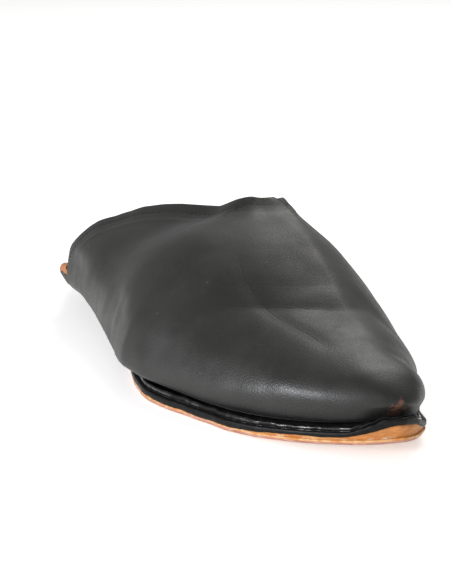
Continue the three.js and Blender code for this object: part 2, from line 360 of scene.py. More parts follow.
def makePiece(name, points, faces, material, attributes):
    mesh = bpy.data.meshes.new(name)
    places = (np.asarray(points, float) + shift) * mm
    mesh.from_pydata(places.tolist(), [], faces)
    for key, values in attributes.items():
        layer = mesh.attributes.new(key, "FLOAT", "POINT")
        layer.data.foreach_set("value", np.asarray(values, np.float32))
    mesh.validate()
    edit = bmesh.new()
    edit.from_mesh(mesh)
    bmesh.ops.recalc_face_normals(edit, faces=edit.faces)
    openEdges = sum(len(edge.link_faces) != 2 for edge in edit.edges)
    edit.to_mesh(mesh)
    edit.free()
    mesh.polygons.foreach_set("use_smooth", [True] * len(mesh.polygons))
    mesh.materials.append(material)
    mesh.update()
    piece = bpy.data.objects.new(name, mesh)
    bpy.context.scene.collection.objects.link(piece)
    print(name, "made with", len(mesh.polygons), "faces,", openEdges, "open edges")
    return piece


def cleanFaces(quads):
    # quads with shared corners, poles made into triangles
    faces = []
    for quad in quads:
        kept = [v for k, v in enumerate(quad) if v != quad[k - 1]]
        if len(kept) > 2 and len(set(kept)) == len(kept):
            faces.append(tuple(kept))
    return faces


def vertexNormals(points, faces):
    normals = np.zeros_like(points)
    for size in (3, 4):
        group = np.array([f for f in faces if len(f) == size], int).reshape(-1, size)
        if len(group) == 0:
            continue
        across = points[group[:, 2]] - points[group[:, 0]]
        along = points[group[:, -1]] - points[group[:, 1]]
        face = np.cross(across, along)
        for corner in range(size):
            np.add.at(normals, group[:, corner], face)
    return normals / np.maximum(np.linalg.norm(normals, axis=1), 1e-12)[:, None]


def nearestOnLine(points, line, closed=False):
    # distance to a polyline, the run along it, and which side of it seen from above
    line = np.asarray(line, float)
    if closed:
        line = np.vstack([line, line[:1]])
    starts, steps = line[:-1], np.diff(line, axis=0)
    lengths = np.linalg.norm(steps, axis=1)
    runs = np.concatenate(([0.0], np.cumsum(lengths)))[:-1]
    best = np.full(len(points), 1e9)
    run = np.zeros(len(points))
    side = np.ones(len(points))
    for start, step, length, begun in zip(starts, steps, lengths, runs):
        away = points - start
        t = np.clip(away @ step / max(length * length, 1e-12), 0.0, 1.0)
        gap = away - t[:, None] * step
        distance = np.linalg.norm(gap, axis=1)
        closer = distance < best
        best = np.where(closer, distance, best)
        run = np.where(closer, begun + t * length, run)
        side = np.where(closer, np.sign(step[0] * away[:, 1] - step[1] * away[:, 0]), side)
    return best, run, side


def softNoise(points, size, seed):
    offset = Vector((seed * 13.7, seed * 7.3, seed * 3.1))
    return np.array([noise.noise(Vector(p) / size + offset) for p in points])


def smoothLine(points, count):
    # a rounded line through a few given points
    points = np.asarray(points, float)
    padded = np.vstack([2 * points[0] - points[1], points, 2 * points[-1] - points[-2]])
    line = []
    for k in range(1, len(padded) - 2):
        a, b, c, d = padded[k - 1:k + 3]
        for t in np.linspace(0.0, 1.0, count, endpoint=False):
            line.append(0.5 * (2 * b + (c - a) * t + (2 * a - 5 * b + 4 * c - d) * t * t
                               + (3 * b - a - 3 * c + d) * t ** 3))
    line.append(points[-1])
    return np.array(line)


# upper: one fine skin with a hem, a rolled heel, creases and soft lumps

upperShape = {
    "openStations": 118, "vampStations": 122, "columns": 84,
    "wall": 1.6,            # leather
    "hem": 1.35,            # half of the folded hem's thickness
    "hemWidth": 9.0,
    "stitchInset": 3.9,
    "kickLow": 0.8, "kickHigh": 2.6,    # how far the skin sinks under the hem, beside and before the foot
    "throatWidth": 4.8,                 # and the throat is squared off there
    "roll": 3.1,            # radius of the rolled edge round the heel
    "rollFrom": 48.0, "rollTo": 62.0,
    "rimRows": 8,
    "edgeDrop": 0.8,
    "toeLong": 0.5, "toeGroove": 2.0,   # how far the toe is drawn out, and in again over the sole
    "seed": 4,
}

# creases: points on the upper in the shoe's own millimetres, then trough depth and half-width
creases = {
    "fold": {"line": ((178, -17.5, 52), (188, -19, 48), (197, -20, 44), (213, -18, 38),
                      (224, -14, 35), (236, -9.5, 32), (245, -6, 29.8)), "depth": 0.32, "half": 3.2},
    "flexNear": {"line": ((174, -42, 41), (188, -31, 43), (201, -14, 44), (207, -1, 44), (208, 13, 42),
                          (203, 22, 39)), "depth": 0.16, "half": 3.6},
    "flexFar": {"line": ((192, -38, 36), (198, -33, 37), (210, -18, 39), (217, -5, 39), (221, 9, 38),
                         (211, 24, 33)), "depth": 0.35, "half": 2.6},
    "flexShort": {"line": ((186, -39, 38), (189, -37, 39), (195, -31, 40), (200, -25, 40)),
                  "depth": 0.25, "half": 2.0},
    "flexValley": {"line": ((184, -46, 33), (198, -34, 37), (210, -18, 39), (217, -5, 39), (220, 9, 38),
                            (208, 26, 33)), "depth": 1.3, "half": 9.5},
    "low": {"line": ((150, -56, 22), (178, -55, 20), (205, -47, 19), (228, -37, 20), (246, -26, 18)),
            "depth": 0.5, "half": 6.0},
    "medialFlex": {"line": ((186, 36, 30), (180, 42, 22), (176, 45, 15)), "depth": 0.5, "half": 5.0},
    "medialSag": {"line": ((96, 43, 30), (112, 41, 20), (124, 38, 12)), "depth": 0.4, "half": 7.0},
}
# where the side of the toe is rubbed to a shine
rubbedBand = ((206, -46, 24), (222, -40, 22), (236, -32, 19.5), (248, -23, 16.5), (258, -14, 14))

# soft ridges raised between them
ridges = {
    "flexRoll": {"line": ((180, -45, 32), (195, -36, 38), (209, -20, 40), (213, -3, 42), (214, 12, 40)),
                 "height": 0.15, "half": 4.5},
    "belly": {"line": ((176, -56, 14), (200, -50, 13), (230, -37, 13)), "height": 0.4, "half": 7.0},
    "peak": {"line": ((150, 8, 64), (162, 9, 61), (185, 9, 55), (205, 8, 46)), "height": 0.4, "half": 6.0},
}


# small waves of the top edge: place along the shoe, rise at the lateral and at the medial side
edgeWaves = table("at lateral medial", (
    (0, 0.0, 0.0), (50, -0.4, -0.2), (60, -1.6, -0.8), (68, -1.6, -1.0), (76, -0.3, -1.2),
    (82, -0.6, -1.4), (88, -0.7, -1.6), (94, -1.7, -1.9), (100, -1.4, -1.9), (106, -0.2, -1.5),
    (114, 0.3, -0.8), (122, 0.2, -0.2), (130, -0.5, 0.1), (138, -0.9, -0.2), (143, 0.0, -0.4),
    (146.5, 0.8, -0.7), (149.2, 1.2, -0.4), (150.3, 0.1, -0.8), (152, -0.4, -1.0)))

# how far the lateral wall sags in (or bulges out) low down
wallTrim = table("at inward", (
    (0, 0.0), (40, 0.0), (52, 1.2), (60, 2.5), (65, 3.1), (70, 2.0), (76, 0.9), (83, 1.7), (90, 2.1),
    (98, 1.5), (106, 0.1), (113, -1.0), (120, -1.5), (126, -1.5), (133, -1.0), (141, 0.1), (149, 1.1),
    (156, 1.2), (165, 0.0), (172, -1.0), (182, -0.4), (192, 0.0), (275, 0.0)))

# and how far the medial side of the toe stands out
toeTrim = table("at medial", (
    (0, 0.0), (228, 0.0), (240, -1.0), (246, -1.0), (250, 0.2), (254, 2.0), (259, 3.4), (264, 4.0),
    (275, 4.0)))


def stationPlaces(shape):
    # evenly spaced along the topline, then ever closer to the toe
    throat = shoe["throat"] * shoe["length"]
    heel = shoe["ledge"]
    dense = heel + (throat - heel) * (1 - np.cos(np.linspace(0, math.pi, 1500))) / 2
    edge = lastPoint(-1, dense, 2.0)
    run = np.concatenate(([0.0], np.cumsum(np.linalg.norm(np.diff(edge, axis=0), axis=1))))
    openPlaces = np.interp(np.linspace(0, run[-1], shape["openStations"] + 1), run, dense)
    toe = shoe["length"] - heel
    vampPlaces = throat + (toe - throat) * np.sin(np.linspace(0, math.pi / 2, shape["vampStations"] + 1))
    return np.concatenate((openPlaces[:-1], vampPlaces))


def skinGrid(side, places, columns, drop):
    # points of one half, evenly spaced up each section
    rises = np.concatenate((np.linspace(0, 1, 60, endpoint=False), np.linspace(1, 2, 240)))
    rows = []
    for x in places:
        section = lastPoint(side, x, rises)
        run = np.concatenate(([0.0], np.cumsum(np.linalg.norm(np.diff(section, axis=0), axis=1))))
        end = run[-1]
        if x < shoe["throat"] * shoe["length"] - 1e-6:
            end -= drop * min(1.0, (shoe["throat"] * shoe["length"] - x) / 12.0)
        at = np.linspace(0, end, columns + 1)
        rows.append(np.stack([np.interp(at, run, section[:, k]) for k in range(3)], -1))
    return np.array(rows)


def rollShare(x):
    return 1 - ease(upperShape["rollFrom"], upperShape["rollTo"], x)


def relief(points, topGap):
    # how far the skin stands off the smooth last
    height = np.zeros(len(points))
    lines = {}
    for name, crease in {**creases, **ridges}.items():
        gap, run, side = nearestOnLine(points, smoothLine(crease["line"], 8))
        total = np.linalg.norm(np.diff(np.array(crease["line"], float), axis=0), axis=1).sum()
        ends = ease(0.0, 10.0, run) * ease(0.0, 10.0, total - run)
        ends = np.where(gap < 3 * crease["half"], ends, 0.0)
        shape = np.exp(-(gap / crease["half"]) ** 2) * ends
        height += shape * (crease["height"] if "height" in crease else -crease["depth"])
        lines[name] = side * (gap + (1 - ends) * 50.0)
    hemZone = np.exp(-((topGap - upperShape["stitchInset"]) / 0.7) ** 2)
    hemRidge = np.exp(-((topGap - upperShape["hemWidth"]) / 1.1) ** 2)
    isHem = 1 - rollShare(points[:, 0])
    height += isHem * (0.18 * hemRidge - 0.2 * hemZone)
    broad = softNoise(points, 38.0, upperShape["seed"])
    middle = softNoise(points, 15.0, upperShape["seed"] + 1)
    fine = softNoise(points, 6.0, upperShape["seed"] + 2)
    height += 0.55 * broad + 0.22 * middle + 0.07 * fine
    return height, lines


def upperSkin(places):
    # both halves of the skin, joined at the heel, at the toe and along the ridge of the vamp
    stations, columns, throatRow = len(places), upperShape["columns"], upperShape["openStations"]
    halves = [skinGrid(side, places, columns, upperShape["edgeDrop"]).reshape(-1, 3) for side in (-1, 1)]
    count = stations * (columns + 1)
    ids = {-1: np.arange(count).reshape(stations, columns + 1)}
    ids[1] = ids[-1] + count
    for row in (0, stations - 1):
        ids[1][row] = ids[-1][row]
    ids[1][throatRow:, columns] = ids[-1][throatRow:, columns]
    quads = []
    for side in (-1, 1):
        grid = ids[side]
        a, b, c, d = grid[:-1, :-1], grid[1:, :-1], grid[1:, 1:], grid[:-1, 1:]
        order = (a, b, c, d) if side < 0 else (d, c, b, a)
        quads += np.stack([k.ravel() for k in order], -1).tolist()
    skin = cleanFaces(quads)
    used = np.unique([v for face in skin for v in face])
    renumber = np.full(2 * count, -1)
    renumber[used] = np.arange(len(used))
    skin = [tuple(renumber[list(face)].tolist()) for face in skin]
    grids = {side: renumber[ids[side]] for side in ids}
    collar = np.concatenate((grids[1][:throatRow + 1, columns], grids[-1][throatRow - 1:0:-1, columns]))
    feather = np.concatenate((grids[-1][:, 0], grids[1][stations - 2:0:-1, 0]))
    return np.concatenate(halves)[used], skin, grids, collar, feather


def shapeSkin(points, normals, topGap, topRun, edgeLine):
    # the skin as worn: creases and sags, a sunk instep, a waved top edge, trimmed walls
    shape = upperShape
    x, y, z = points.T
    above = z - featherHeight - lift(x)
    height, lines = relief(points, topGap)
    edgeRuns = np.concatenate(([0.0], np.cumsum(np.linalg.norm(np.diff(edgeLine, axis=0), axis=1))))
    nearX, nearY, nearZ = (np.interp(topRun, edgeRuns, edgeLine[:, k]) for k in range(3))
    kick = shape["kickHigh"] * ease(54.0, 60.0, nearZ) + shape["kickLow"] * ease(46.0, 54.0, nearZ)
    kick *= 1 - 0.65 * ease(9.0, 16.0, y)
    rising = np.sin(np.minimum(topGap / shape["hemWidth"], 1.0) * math.pi / 2)
    height -= kick * rising * (1 - ease(shape["hemWidth"], 36.0, topGap))
    height *= ease(0.0, 4.0, above)
    smoothEnds = ease(0.0, 6.0, shoe["length"] - shoe["ledge"] - x)
    outside = points + normals * (height * (0.3 + 0.7 * smoothEnds))[:, None]
    # top edge
    isMedial = nearY > np.interp(nearX, (60, 151), (0, 9))
    waves = [np.interp(nearX, edgeWaves["at"], edgeWaves[name]) for name in ("medial", "lateral")]
    outside[:, 2] += np.where(isMedial, waves[0], waves[1]) * np.exp(-(topGap / 12.0) ** 2)
    # medial side of the toe, squared throat, lateral wall
    toeSide = ease(-2.0, 10.0, y) * (0.4 + 0.6 * ease(0.0, 5.0, above))
    outside[:, 1] += readTable(toeTrim, "medial", x) * toeSide
    square = np.exp(-((nearX - 149.5) / 6.0) ** 2) * np.exp(-(topGap / 9.0) ** 2)
    outside[:, 1] += shape["throatWidth"] * square * ease(7.5, 11.0, y)
    low = ease(0.0, 6.0, above) * (1 - ease(26.0, 36.0, z))
    outside[:, 1] += np.interp(x, wallTrim["at"], wallTrim["inward"]) * low * ease(0.0, 8.0, -y)
    # toe: a little longer, but drawn in at the groove over the sole
    groove = shape["toeGroove"] * (1 - ease(0.0, 6.0, above)) * ease(263.0, 271.0, x)
    outside[:, 0] += shape["toeLong"] * ease(252.0, 270.0, x) - groove
    return outside, lines, above


def wallDepth(points, topGap, roll):
    # thin, twice as thick along the hem, fat where the heel edge rolls over
    shape = upperShape
    hemThick = 2 * shape["hem"] - shape["wall"]
    rollThick = 2 * shape["roll"] - shape["wall"]
    extra = (1 - roll) * hemThick * (1 - ease(shape["hemWidth"] - 0.4, shape["hemWidth"] + 0.6, topGap))
    swell = np.sqrt(np.clip(1 - (np.maximum(topGap - shape["roll"], 0.0) / shape["roll"]) ** 2, 0.0, 1.0))
    extra += roll * rollThick * swell
    isOpen = points[:, 0] < shoe["throat"] * shoe["length"] + 8
    return shape["wall"] + np.where(isOpen | (topGap < 8), extra, 0.0)


def rimPoints(ring, inner, ringNormals):
    # rows of a half round from the outside over to the inside
    tangent = np.roll(ring, -1, axis=0) - np.roll(ring, 1, axis=0)
    tangent /= np.linalg.norm(tangent, axis=1)[:, None]
    beyond = np.cross(ringNormals, tangent)
    beyond /= np.linalg.norm(beyond, axis=1)[:, None]
    if np.mean(beyond[:, 2]) < 0:
        beyond = -beyond
    for _ in range(4):
        beyond = (np.roll(beyond, 1, axis=0) + 2 * beyond + np.roll(beyond, -1, axis=0)) / 4
    centre = (ring + inner) / 2
    reach = np.linalg.norm(ring - inner, axis=1) / 2
    rows = []
    for k in range(1, upperShape["rimRows"]):
        angle = math.pi * k / upperShape["rimRows"]
        out = reach * math.sin(angle) * 0.95
        rows.append(centre + (ring - centre) * math.cos(angle) + beyond * out[:, None])
    return rows


def closedBand(low, high):
    # quads between two closed rows of points
    return [tuple(quad) for quad in np.stack([low, np.roll(low, -1), np.roll(high, -1), high], -1).tolist()]


def stitchRows(outside, inside, normals, topGap, places, grids):
    # stitch lines on the skin and on the lining, a little in from the rim
    throatRow = upperShape["openStations"]
    order = [(1, row) for row in range(throatRow + 1)] + [(-1, row) for row in range(throatRow - 1, 0, -1)]
    order = [(side, row) for side, row in order if places[row] >= upperShape["rollTo"] + 2]
    lines, leans = [], []
    for surface, sign in ((outside, 1.0), (inside, -1.0)):
        line, lean = [], []
        for side, row in order:
            column = grids[side][row][::-1][:14]
            gaps = topGap[column]
            place = [np.interp(upperShape["stitchInset"], gaps, surface[column, k]) for k in range(3)]
            across = [np.interp(upperShape["stitchInset"], gaps, normals[column, k]) * sign for k in range(3)]
            line.append(np.array(place) + np.array(across) * (stitchShape["radius"] * 0.4))
            lean.append(across)
        lines.append(np.array(line))
        leans.append(np.array(lean))
    return {"stitchLines": lines, "stitchNormals": leans}


def makeUpper(material):
    shape = upperShape
    places = stationPlaces(shape)
    points, skin, grids, collar, feather = upperSkin(places)
    normals = vertexNormals(points, skin)
    topGap, topRun, _ = nearestOnLine(points, points[collar], closed=True)
    outside, lines, above = shapeSkin(points, normals, topGap, topRun, points[collar])
    roll = rollShare(points[:, 0])
    inside = outside - normals * wallDepth(points, topGap, roll)[:, None]
    rim = rimPoints(outside[collar], inside[collar], normals[collar])

    total, around = len(points), len(collar)
    faces = skin + [tuple(total + v for v in reversed(face)) for face in skin]
    faces += closedBand(feather + total, feather)
    rows = [collar] + [2 * total + k * around + np.arange(around) for k in range(len(rim))] + [collar + total]
    for low, high in zip(rows[:-1], rows[1:]):
        faces += closedBand(low, high)

    def spread(outer, inner, edge):
        return np.concatenate([outer, inner] + [edge] * len(rim))

    far, farRim = np.full(total, 50.0), np.full(around, 50.0)
    fleshFrom = np.where(roll > 0.5, 14.0, shape["hemWidth"])
    attributes = {
        "topGap": spread(topGap, topGap, np.zeros(around)),
        "topRun": spread(topRun, topRun, topRun[collar]),
        "flesh": spread(np.zeros(total), np.where(topGap < fleshFrom, 0.0, 1.0), np.zeros(around)),
        "footGap": spread(above, above, farRim),
        "rubGap": spread(nearestOnLine(points, smoothLine(rubbedBand, 8))[0], far, farRim),
    }
    for name in ("fold", "flexNear", "flexFar", "flexShort"):
        attributes[name] = spread(lines[name], far, farRim)
    piece = makePiece("upper_leather", np.concatenate([outside, inside] + rim), faces, material, attributes)
    return piece, stitchRows(outside, inside, normals, topGap, places, grids)


# sole: plies swept round the same outline, each with its own cut edge

soleShape = {
    "around": 380,          # points on each side of the outline
    "edgeRough": 0.16,      # roughness of the cut edges
    "underCut": 0.9,        # how far the cut slants in at the toe
    "foreRise": 0.45,       # how far the tan ply's top rises under the forefoot
    "tipBend": 2.4,         # how far the point of the sole is bent up
    "toeLip": 2.2,          # and the lip of the rand above it
}


def evenShares(count):
    dense = (1 - np.cos(np.linspace(0, math.pi, 4000))) / 2
    edge = np.stack([dense * shoe["length"], soleEdge(-1, dense * shoe["length"], 0.0)], -1)
    run = np.concatenate(([0.0], np.cumsum(np.linalg.norm(np.diff(edge, axis=0), axis=1))))
    return np.interp(np.linspace(0, run[-1], count + 1), run, dense)


aroundShares = evenShares(soleShape["around"])
loopShares = np.concatenate((aroundShares, aroundShares[-2:0:-1]))
loopSides = np.concatenate((-np.ones(len(aroundShares)), np.ones(len(aroundShares) - 2)))


# trimming of the sole: place along the shoe, how far each side stands out, how low the toe sits
soleTrim = table("at lateral medial low", (
    (0, 0.0, 0.0, 0.0), (136, 0.0, 0.0, 0.0), (146, 0.3, 0.0, 0.0), (156, 0.9, 0.0, 0.0),
    (166, 0.7, 0.0, 0.0), (176, 0.5, 0.0, 0.0), (186, 1.1, 0.0, 0.0), (197, 0.8, 0.0, 0.0),
    (207, -0.3, 0.0, 0.0), (218, -0.5, -0.4, 0.0), (229, 0.8, -1.1, 0.1), (238, 0.8, -1.8, 0.4),
    (246, 0.6, -2.2, 0.6), (254, 0.5, -0.8, 0.8), (258, 0.4, 0.4, 0.9), (263, 0.4, 1.5, 1.1),
    (268, 0.3, 1.4, 1.3), (272, 0.2, 1.5, 1.3), (275, 0.0, 0.0, 1.2)))


def loopAt(inset, height):
    inset = np.broadcast_to(np.asarray(inset, float), loopShares.shape)
    x = inset + (shoe["length"] - 2 * inset) * loopShares
    trim = {name: readTable(soleTrim, name, x) * np.clip((5.0 - inset) / 3.5, 0.0, 1.0) for name in soleTrim}
    lateral, medial = soleEdge(-1, x, inset) - trim["lateral"], soleEdge(1, x, inset) + trim["medial"]
    y = np.where(loopSides < 0, lateral, medial)
    return np.stack([x, y, np.asarray(height, float) + lift(x) - trim["low"]], -1)


def sweep(loops):
    # loops of points, lowest first, into a band of quads
    size = len(loops[0])
    points = np.concatenate(loops)
    here = np.arange(size)
    after = (here + 1) % size
    faces = []
    for k in range(len(loops) - 1):
        base = k * size
        faces += np.stack([base + after, base + here, base + size + here, base + size + after], -1).tolist()
    return points, faces


def fillAcross(loop, columns, height):
    # sheet between the two sides of a loop; height(points) is added, fading at the edge
    half = soleShape["around"]
    size = len(loop)
    points, ids = [], np.zeros((half + 1, columns + 1), int)
    ids[:, 0] = np.arange(half + 1)
    ids[0, :], ids[half, :] = 0, half
    ids[1:half, columns] = size - np.arange(1, half)
    for row in range(1, half):
        near, far = loop[row], loop[size - row]
        for column in range(1, columns):
            share = (1 - math.cos(math.pi * column / columns)) / 2
            points.append(near + (far - near) * share)
            ids[row, column] = size + len(points) - 1
    points = np.array(points)
    fade = ease(0.0, 5.0, nearestGap(points, loop))
    points[:, 2] += height(points) * fade
    corners = (ids[:-1, :-1], ids[1:, :-1], ids[1:, 1:], ids[:-1, 1:])
    return points, cleanFaces(zip(*[corner.ravel().tolist() for corner in corners]))


def nearestGap(points, loop):
    gaps = np.full(len(points), 1e9)
    for start in range(0, len(points), 2000):
        part = points[start:start + 2000]
        away = part[:, None, :2] - loop[None, ::3, :2]
        gaps[start:start + 2000] = np.sqrt((away ** 2).sum(-1).min(1))
    return gaps


def aroundNoise(size, seed):
    return softNoise(loopAt(0.0, 0.0), size, seed)


def toeShare(low, high):
    return ease(low, high, loopShares * shoe["length"])


def level(points):
    return np.zeros(len(points))


def closePlate(loops, underColumns, underHeight, topColumns, topHeight):
    # a swept edge, closed by one sheet below and one above
    points, faces = sweep(loops)
    size, base = len(loops[0]), len(points)
    under, underFaces = fillAcross(loops[0], underColumns, underHeight)
    sheet, sheetFaces = fillAcross(loops[-1], topColumns, topHeight)
    faces += [tuple(v if v < size else v - size + base for v in face) for face in underFaces]
    top, above = base - size, base + len(under) - size
    faces += [tuple(v + (top if v < size else above) for v in reversed(face)) for face in sheetFaces]
    return np.concatenate([points, under, sheet]), faces, len(under), len(sheet)


def makePly(name, low, high, profile, material, seed, columns, bend=0.0):
    # a closed plate: cut edge from the profile of (inset, share of the thickness), plain top, worn underside
    broad, middle, fine = aroundNoise(16, seed), aroundNoise(5, seed + 1), aroundNoise(1.6, seed + 2)
    loops, shares = [], []
    for inset, share in profile:
        rough = soleShape["edgeRough"] * (1.4 * broad + middle + 0.6 * fine * (0.5 + share))
        grain = 0.07 * aroundNoise(1.3, seed + 3 + share * 5.0)
        slant = soleShape["underCut"] * (1 - share) * toeShare(225.0, 268.0)
        z = low + (high - low) * share + 0.05 * middle * (share > 0.5) + bend * tipRise() * share
        if bend > 0.0:
            z = z + share * soleShape["foreRise"] * toeShare(205.0, 245.0)
        loops.append(loopAt(np.maximum(inset + rough + grain + slant + 0.15, -0.1), z))
        shares.append(np.full(len(loopShares), share))

    def worn(points):
        return 0.12 + 0.10 * softNoise(points, 22.0, seed + 9)

    points, faces, under, top = closePlate(loops, columns, worn, 4, level)
    ply = np.concatenate(shares + [np.zeros(under), np.ones(top)])
    return makePiece(name, points, faces, material, {"ply": ply})


outsoleProfile = ((2.2, 0.0), (0.9, 0.02), (0.35, 0.10), (0.08, 0.28), (0.0, 0.5), (0.0, 0.7), (0.02, 0.88),
                  (0.08, 1.0), (0.3, 1.08), (2.0, 1.10))
midsoleProfile = ((2.0, -0.12), (0.3, -0.12), (0.12, -0.08), (0.06, 0.06), (0.05, 0.28), (0.0, 0.45),
                  (0.0, 0.62), (0.0, 0.78), (0.1, 0.92), (0.5, 1.0), (2.0, 1.02))


# rand: a waxed black strip under a glossy roll, with a deep groove against the upper

# (inset, share of the height), from under the strip, up its face, into the groove and over the roll
randProfile = ((3.2, -0.10), (0.9, -0.10), (0.22, -0.08), (0.02, 0.04), (-0.02, 0.20), (0.05, 0.38),
               (0.35, 0.50), (1.05, 0.52), (1.35, 0.50), (1.15, 0.60), (0.98, 0.74), (1.02, 0.90),
               (1.30, 1.02), (1.70, 1.04), (2.05, 0.94), (2.30, 0.78), (2.75, 0.66), (3.6, 0.62),
               (4.2, 0.80), (5.9, 1.02), (6.4, 0.90), (6.4, 0.0))
randShape = {
    "stripOut": 0.22,                   # how far the strip stands out under the groove
    "tuckIn": 0.7, "tuckDown": 0.9,     # and the roll draws back beside the medial side of the toe
    "lean": 0.6, "seed": 31,
}
randDrop = table("at down", ((0, 1.35), (180, 1.6), (205, 1.8), (225, 1.8), (240, 1.3), (250, 0.8),
                             (264, 0.7), (268, 0.2), (275, 0.0)))


def randBase():
    # the black strip runs low over the tan ply beside the foot, and clears it round the toe
    return randLow - readTable(randDrop, "down", loopShares * shoe["length"]) + tipRise()


def tipRise():
    # the sole's point is bent up
    return soleShape["tipBend"] * toeShare(265.0, 275.0) ** 1.4


def makeRand(material):
    seed = randShape["seed"]
    sizes = (14, 4.5, 1.7, 9, 2.6, 2.4, 1.1, 6)
    broad, middle, fine, slow, lumps, quick, beads, rolls = (aroundNoise(size, seed + k)
                                                             for k, size in enumerate(sizes))
    drip = 0.35 * slow + 0.16 * quick
    base, tip = randBase(), toeShare(264.0, 275.0)
    medialToe = toeShare(225.0, 250.0) * (1 - toeShare(268.0, 273.0)) * (loopSides > 0)
    loops, shares = [], []
    for k, (inset, share) in enumerate(randProfile):
        z = base + (randHigh + tipRise() * randShape["lean"] - base) * share
        edge = inset + 0.10 * broad + 0.10 * middle + 0.05 * fine
        if 2 <= k <= 6:
            edge = edge - randShape["stripOut"]
        if 1 <= k <= 3:
            z = z - drip
            edge = edge + 0.05 * lumps
        elif k < 9:
            edge = edge + 0.10 * lumps + 0.05 * beads
        elif k <= 15:
            z = z + 0.18 * middle + 0.20 * lumps + 0.12 * beads - randShape["tuckDown"] * medialToe
            edge = edge + 0.22 * rolls + 0.14 * lumps + 0.06 * beads + randShape["tuckIn"] * medialToe
        if k >= 4:
            z = z + soleShape["toeLip"] * tip * math.exp(-((inset - 0.9) / 1.6) ** 2) * (1 + 0.5 * lumps)
        loops.append(loopAt(np.maximum(edge, -0.4), z))
        shares.append(np.full(len(loopShares), k / (len(randProfile) - 1)))
    points, faces = sweep(loops + [loops[0]])
    points = points[:len(loopShares) * len(loops)]
    faces = [tuple(v % len(points) for v in face) for face in faces]
    return makePiece("rand_strip", points, faces, material, {"across": np.concatenate(shares)})


# insole: one sheet inside the feather edge, hollowed a little by the foot

sockShape = {
    # rows from the middle of the underside, over the edge, to the hollow top: (inset, height)
    "rows": ((6.6, 0.0), (6.3, 0.03), (6.25, 0.5), (6.25, 1.9), (5.2, 2.45), (4.3, 2.9), (4.5, 3.1),
             (5.6, 2.9), (7.2, 2.40), (8.6, 2.22)),
    "toeInset": 2.0, "wave": 0.12, "worn": 0.35, "seed": 51,
}


def makeInsole(material):
    seed = sockShape["seed"]
    wave = sockShape["wave"] * aroundNoise(12, seed)
    toeInset = sockShape["toeInset"] * toeShare(254.0, 270.0)
    loops = [loopAt(inset + toeInset + wave * (rise > 1), randLow + rise)
             for inset, rise in sockShape["rows"]]

    def worn(points):
        x, y = points[:, 0], points[:, 1]
        heel = np.exp(-(((x - 36) / 26) ** 2 + (y / 18) ** 2))
        ball = np.exp(-(((x - 190) / 34) ** 2 + ((y - 2) / 28) ** 2))
        soft = 0.10 * softNoise(points, 24.0, seed + 1) + 0.05 * softNoise(points, 9.0, seed + 2)
        return soft - sockShape["worn"] * (heel + ball)

    points, faces, _, _ = closePlate(loops, 2, level, 34, worn)
    return makePiece("sock_sheet", points, faces, material, {"edgeGap": nearestGap(points, loops[-1])})


# back quarter: the heel of the upper trodden flat on the sock

quarterShape = {
    "start": 9.0, "end": 60.0,          # from the back of the heel to the raw front edge
    "rows": 90, "columns": 96,
    "thickness": 1.6, "rise": 1.35, "gap": 0.8, "flatShare": 0.6,
    "bump": 0.55, "fineBump": 0.22, "pleat": 0.35, "curl": 0.9, "edgeRound": 0.45,
    "seed": 61,
}


def insidePlace(side, x, rise, depth):
    here, after = lastPoint(side, x, rise), lastPoint(side, x, rise + 0.01)
    along = after[..., 1:] - here[..., 1:]
    along /= np.linalg.norm(along, axis=-1)[..., None]
    y = here[..., 1] - side * depth * along[..., 1]
    z = here[..., 2] + side * depth * along[..., 0]
    return np.stack([np.broadcast_to(x, y.shape), y, z], -1)


def quarterLayer(layer):
    # one face of the trodden leather: flat on the sock, then up the inside of the wall
    shape = quarterShape
    rows, columns = shape["rows"], shape["columns"]
    across = np.linspace(-1, 1, columns + 1)
    endWave = 1.6 * softNoise(np.stack([across * 40, across * 0, across * 0], -1), 14.0, shape["seed"])
    grid = np.zeros((rows + 1, columns + 1, 3))
    for column, place in enumerate(across):
        side = -1 if place < 0 else 1
        length = shape["end"] + endWave[column] - 2.6 * abs(place) ** 3 - shape["start"]
        x = shape["start"] + length * np.linspace(0, 1, rows + 1)
        gap = shape["gap"] + 3 * (1 - ease(shape["start"], shoe["heelEnd"], x))
        depth = upperShape["wall"] + 0.2 + gap + layer
        share = abs(place) / shape["flatShare"]
        if share <= 1:
            low = insidePlace(side, x, np.zeros_like(x), depth)
            flat = insoleHigh + 0.25 + layer
            z = flat + (low[:, 2] - flat) * share ** 6
            grid[:, column] = np.stack([x, low[:, 1] * share, z], -1)
        else:
            rise = shape["rise"] * (abs(place) - shape["flatShare"]) / (1 - shape["flatShare"])
            grid[:, column] = insidePlace(side, x, np.full_like(x, rise), depth)
    return grid


